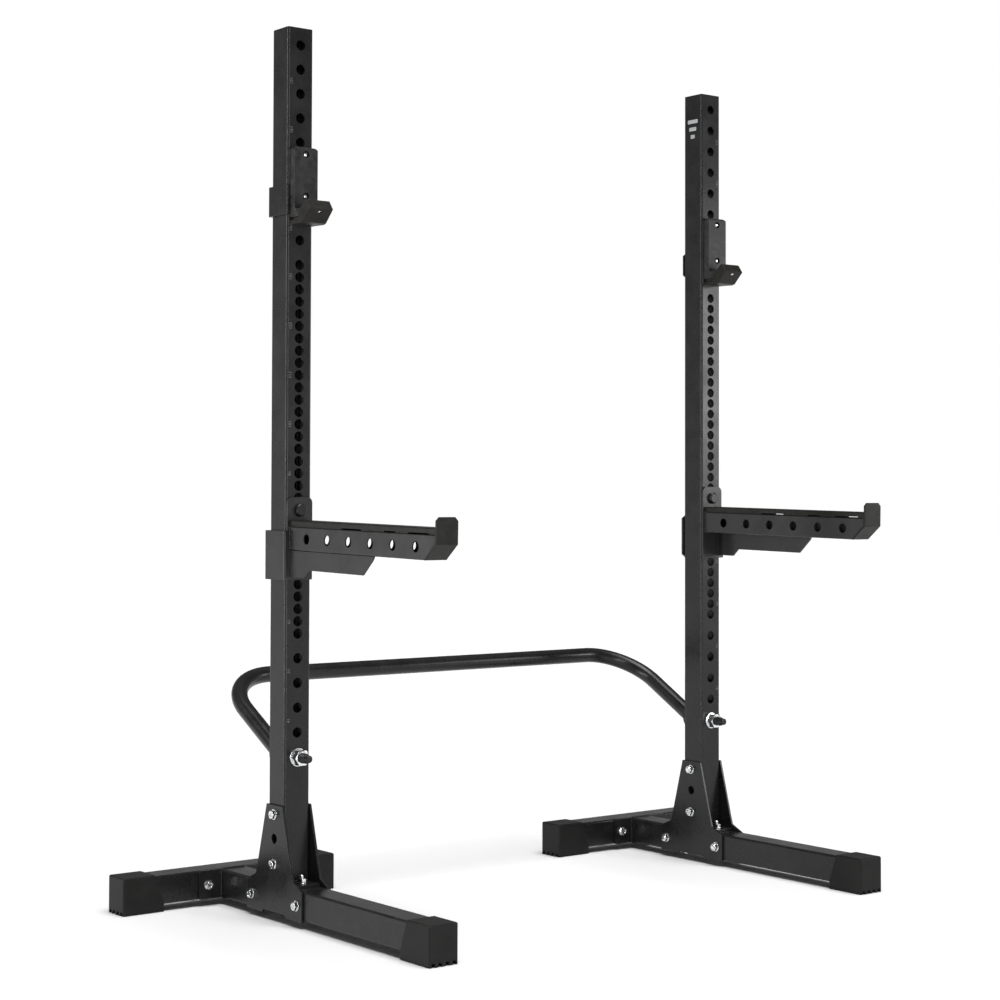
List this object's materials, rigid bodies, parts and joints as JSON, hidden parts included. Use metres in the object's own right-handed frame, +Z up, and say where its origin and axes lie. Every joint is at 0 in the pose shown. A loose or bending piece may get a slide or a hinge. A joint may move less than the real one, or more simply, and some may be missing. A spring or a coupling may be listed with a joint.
{
  "type": "squat stand pair",
  "caption": "Free-standing pair of drilled uprights on T-shaped feet, joined by a rear U-bar, with J-hooks and spotter arms that turn on pins.",
  "frame": {"origin": "middle of the footprint's bounding box, on the floor", "axes": "+Z up, X across the pair from the lower left stand to the right one, -Y towards the arms and the user"},
  "size_m": [1.666, 0.8384, 1.817],
  "materials": {
    "powder_coat": "satin, fine texture",
    "foot_plastic": "matte",
    "liner_polymer": "matte",
    "zinc": "zinc plated",
    "black_oxide": "semi-gloss"
  },
  "bodies": {
    "arm_l": {"arm_beam_l": "powder_coat", "arm_bracket_l": "powder_coat", "arm_liner_l": "liner_polymer", "arm_pin_l": "powder_coat", "arm_stop_l": "powder_coat"},
    "arm_r": {"arm_beam_r": "powder_coat", "arm_bracket_r": "powder_coat", "arm_liner_r": "liner_polymer", "arm_pin_r": "powder_coat", "arm_stop_r": "powder_coat"},
    "frame": {"base_bolts_l": "zinc", "base_bolts_r": "zinc", "base_plate_l": "powder_coat", "base_plate_r": "powder_coat", "flange_bolts_l": "zinc", "flange_bolts_r": "zinc", "front_foot_l": "foot_plastic", "front_foot_r": "foot_plastic", "gusset_bolts_l": "zinc", "gusset_bolts_r": "zinc", "gusset_in_l": "powder_coat", "gusset_in_r": "powder_coat", "gusset_out_l": "powder_coat", "gusset_out_r": "powder_coat", "nuts_l": "zinc", "nuts_r": "zinc", "rear_beam_l": "powder_coat", "rear_beam_r": "powder_coat", "rear_foot_in_l": "foot_plastic", "rear_foot_in_r": "foot_plastic", "rear_foot_out_l": "foot_plastic", "rear_foot_out_r": "foot_plastic", "stem_flange_l": "powder_coat", "stem_flange_r": "powder_coat", "stem_l": "powder_coat", "stem_r": "powder_coat", "stud_l": "black_oxide", "stud_nut_l": "zinc", "stud_nut_r": "zinc", "stud_r": "black_oxide", "stud_washer_l": "zinc", "stud_washer_r": "zinc", "top_cap_l": "foot_plastic", "top_cap_r": "foot_plastic", "u_bar": "powder_coat", "u_bar_bosses": "powder_coat", "upright_l": "powder_coat", "upright_r": "powder_coat", "washers_l": "zinc", "washers_r": "zinc"},
    "hook_l": {"hook_bracket_l": "powder_coat", "hook_liner_l": "liner_polymer", "hook_lip_l": "liner_polymer", "hook_pin_l": "powder_coat", "hook_screws_l": "zinc"},
    "hook_r": {"hook_bracket_r": "powder_coat", "hook_liner_r": "liner_polymer", "hook_lip_r": "liner_polymer", "hook_pin_r": "powder_coat", "hook_screws_r": "zinc"}
  },
  "joints": [
    {"name": "hook_turn_l", "type": "hinge", "parent": "frame", "child": "hook_l", "pos_m": [-0.576, 0.09172, 1.531], "axis": [0, 1, 0], "range_deg": [0, 90]},
    {"name": "hook_turn_r", "type": "hinge", "parent": "frame", "child": "hook_r", "pos_m": [0.576, 0.09172, 1.481], "axis": [0, -1, 0], "range_deg": [0, 90]},
    {"name": "arm_turn_l", "type": "hinge", "parent": "frame", "child": "arm_l", "pos_m": [-0.576, 0.09172, 0.831], "axis": [0, 1, 0], "range_deg": [0, 90]},
    {"name": "arm_turn_r", "type": "hinge", "parent": "frame", "child": "arm_r", "pos_m": [0.576, 0.09172, 0.856], "axis": [0, -1, 0], "range_deg": [0, 90]}
  ]
}
